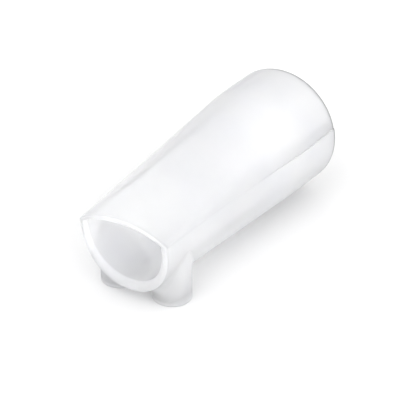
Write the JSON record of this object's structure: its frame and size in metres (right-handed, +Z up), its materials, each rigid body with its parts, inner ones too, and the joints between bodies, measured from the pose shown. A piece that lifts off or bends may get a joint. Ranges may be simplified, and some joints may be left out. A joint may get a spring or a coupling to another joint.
{
  "type": "saliva ejector tip",
  "caption": "Translucent suction tip: a round sleeve that slips over a suction tube and tapers to a low lens-shaped mouth standing on short hollow feet.",
  "frame": {"origin": "on the floor that the tip stands on, in the middle of its length and width", "axes": "+Z up, the mouth faces -Y and the round sleeve end faces +Y, +X to the right when looking into the sleeve end's direction from the mouth"},
  "size_m": [0.013, 0.0308, 0.0132],
  "materials": {
    "shell": "milky translucent soft plastic, satin",
    "feet": "milky translucent soft plastic, satin"
  },
  "bodies": {
    "root": {"upper_shell": "shell", "lower_shell": "shell", "left_foot": "feet", "right_foot": "feet"}
  },
  "joints": []
}
